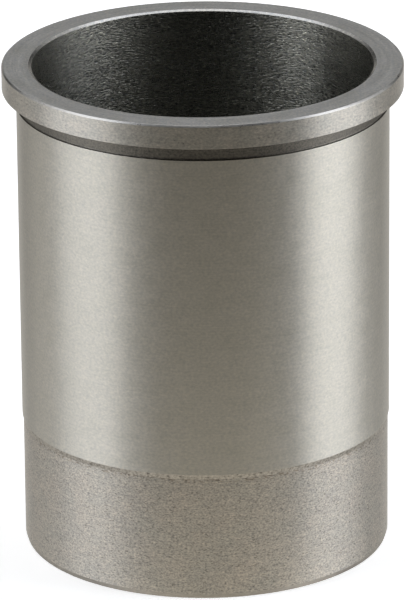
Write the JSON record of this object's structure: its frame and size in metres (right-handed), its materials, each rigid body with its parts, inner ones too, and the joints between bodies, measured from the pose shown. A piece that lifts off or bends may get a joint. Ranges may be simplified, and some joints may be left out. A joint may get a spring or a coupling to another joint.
{
  "type": "cylinder liner",
  "caption": "Flanged cylinder liner for an engine block: a turned cast iron sleeve with a plain bore, a ground outer land, a relief groove under its flange and a reduced land at its foot.",
  "frame": {"origin": "centre of the foot face, on the bore's axis", "axes": "+Z along the bore's axis, from the foot up to the flange; the liner is the same all round, so +X and +Y are any two directions at a right angle"},
  "size_m": [0.112, 0.112, 0.1401],
  "materials": {
    "cast_iron": "turned all over, the upper land ground to a satin sheen, the lower land duller with fine open pores, the bore rough bored"
  },
  "bodies": {
    "root": {"cylinder_liner": "cast_iron"}
  },
  "joints": []
}
